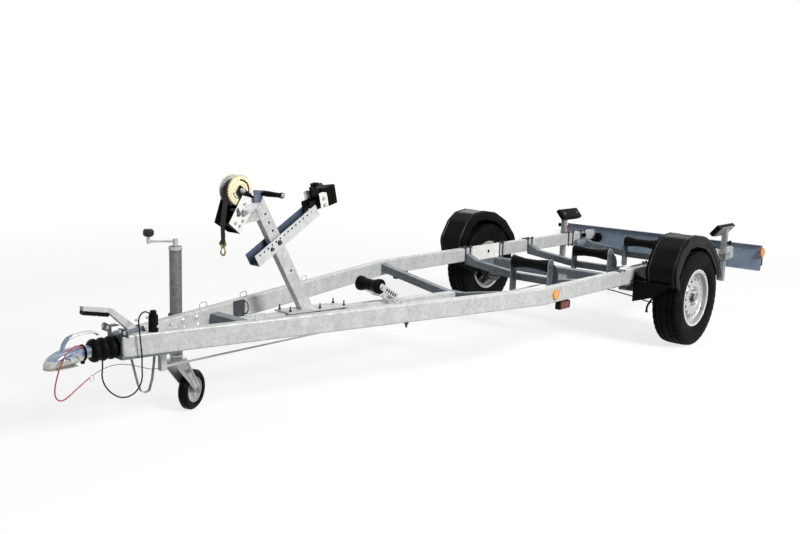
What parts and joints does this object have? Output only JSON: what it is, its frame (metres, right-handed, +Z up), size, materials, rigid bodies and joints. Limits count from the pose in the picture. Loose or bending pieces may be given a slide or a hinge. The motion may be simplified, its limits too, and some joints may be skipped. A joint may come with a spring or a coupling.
{
  "type": "single-axle braked boat trailer",
  "caption": "Galvanised single-axle boat trailer with keel rollers, side supports, winch post with bow stop, overrun coupling and jockey wheel.",
  "frame": {"origin": "on the ground at the middle of the bounding box", "axes": "+X forward to the coupling, +Y to the trailer's left, +Z up"},
  "size_m": [5.651, 1.976, 1.2176],
  "materials": {
    "galvanised": "hot-dip galvanised, dull spangle",
    "zinc": "zinc plated, satin",
    "cast_grey": "painted casting, satin",
    "wheel_silver": "silver paint, satin",
    "tyre_rubber": "matt",
    "black_plastic": "moulded, satin",
    "black_rubber": "matt",
    "red_lens": "clear-coated lens",
    "amber_lens": "clear-coated lens",
    "red_plastic": "plastic sleeve",
    "black_paint": "black paint, semi-gloss",
    "gold_steel": "yellow passivated, satin",
    "webbing": "woven webbing"
  },
  "bodies": {
    "chassis": {"axle_beam": "galvanised", "bellows": "black_rubber", "bow_arm": "galvanised", "bow_block": "black_rubber", "bow_bracket": "galvanised", "brake_cables": "black_plastic", "brake_rod": "zinc", "breakaway_cable": "red_plastic", "breakaway_wire": "zinc", "cable_hoop": "zinc", "coupling_handle": "zinc", "coupling_head": "zinc", "cross_member_1": "galvanised", "cross_member_2": "galvanised", "cross_member_3": "galvanised", "cross_member_bend": "galvanised", "electric_cable": "black_plastic", "electric_plug": "black_plastic", "handbrake_lever": "black_paint", "jockey_clamp": "black_paint", "jockey_crank": "zinc", "jockey_tube": "zinc", "keel_tube": "galvanised", "light_board": "galvanised", "mudguard_left": "black_plastic", "mudguard_right": "black_plastic", "overrun_housing": "zinc", "plug_holder": "black_plastic", "rail_left": "galvanised", "rail_right": "galvanised", "roller_arm": "galvanised", "roller_brackets": "galvanised", "side_markers": "amber_lens", "side_pads": "black_rubber", "side_posts": "galvanised", "snap_hook": "gold_steel", "swing_arms": "cast_grey", "tail_lamps": "red_lens", "winch_cover": "zinc", "winch_frame": "black_paint", "winch_post": "galvanised", "winch_strap_tail": "webbing"},
    "wheel_left": {"wheel_rim_left": "wheel_silver", "tyre_left": "tyre_rubber", "brake_drum_left": "cast_grey"},
    "wheel_right": {"wheel_rim_right": "wheel_silver", "tyre_right": "tyre_rubber", "brake_drum_right": "cast_grey"},
    "roller_front": {"keel_roller_front": "black_rubber"},
    "roller_1": {"keel_roller_1": "black_rubber"},
    "roller_2": {"keel_roller_2": "black_rubber"},
    "roller_3": {"keel_roller_3": "black_rubber"},
    "winch_drum": {"winch_drum": "gold_steel", "winch_strap_roll": "webbing"},
    "winch_crank": {"winch_crank": "black_paint"},
    "jockey_slide": {"jockey_inner_tube": "zinc"},
    "jockey_caster": {"jockey_fork": "zinc"},
    "jockey_wheel": {"jockey_rim": "black_plastic", "jockey_tyre": "black_rubber"}
  },
  "joints": [
    {"name": "wheel_left_spin", "type": "hinge", "parent": "chassis", "child": "wheel_left", "pos_m": [-1.4035, 0.882, 0.335], "axis": [0, 1, 0], "continuous": true},
    {"name": "wheel_right_spin", "type": "hinge", "parent": "chassis", "child": "wheel_right", "pos_m": [-1.4035, -0.882, 0.335], "axis": [0, 1, 0], "continuous": true},
    {"name": "roller_front_spin", "type": "hinge", "parent": "chassis", "child": "roller_front", "pos_m": [0.8665, 0, 0.562], "axis": [0, 1, 0], "continuous": true},
    {"name": "roller_1_spin", "type": "hinge", "parent": "chassis", "child": "roller_1", "pos_m": [-0.7905, 0, 0.512], "axis": [0, 1, 0], "continuous": true},
    {"name": "roller_2_spin", "type": "hinge", "parent": "chassis", "child": "roller_2", "pos_m": [-1.6355, 0, 0.512], "axis": [0, 1, 0], "continuous": true},
    {"name": "roller_3_spin", "type": "hinge", "parent": "chassis", "child": "roller_3", "pos_m": [-2.4805, 0, 0.512], "axis": [0, 1, 0], "continuous": true},
    {"name": "winch_drum_spin", "type": "hinge", "parent": "chassis", "child": "winch_drum", "pos_m": [1.83244, 0, 1.14224], "axis": [0, 1, 0], "continuous": true},
    {"name": "winch_crank_turn", "type": "hinge", "parent": "chassis", "child": "winch_crank", "pos_m": [1.82209, 0, 1.04378], "axis": [0, 1, 0], "continuous": true},
    {"name": "jockey_extend", "type": "slide", "parent": "chassis", "child": "jockey_slide", "axis": [0, 0, -1], "range_m": [0, 0.2]},
    {"name": "jockey_swivel", "type": "hinge", "parent": "jockey_slide", "child": "jockey_caster", "pos_m": [2.0305, -0.21243, 0.2987], "axis": [0, 0, 1], "continuous": true},
    {"name": "jockey_wheel_spin", "type": "hinge", "parent": "jockey_caster", "child": "jockey_wheel", "pos_m": [1.90163, -0.26714, 0.103], "axis": [0.3907, -0.9205, 0], "continuous": true}
  ],
  "couplings": [
    {"joint": "winch_crank_turn", "follows": "winch_drum_spin", "ratio": -2.75}
  ]
}
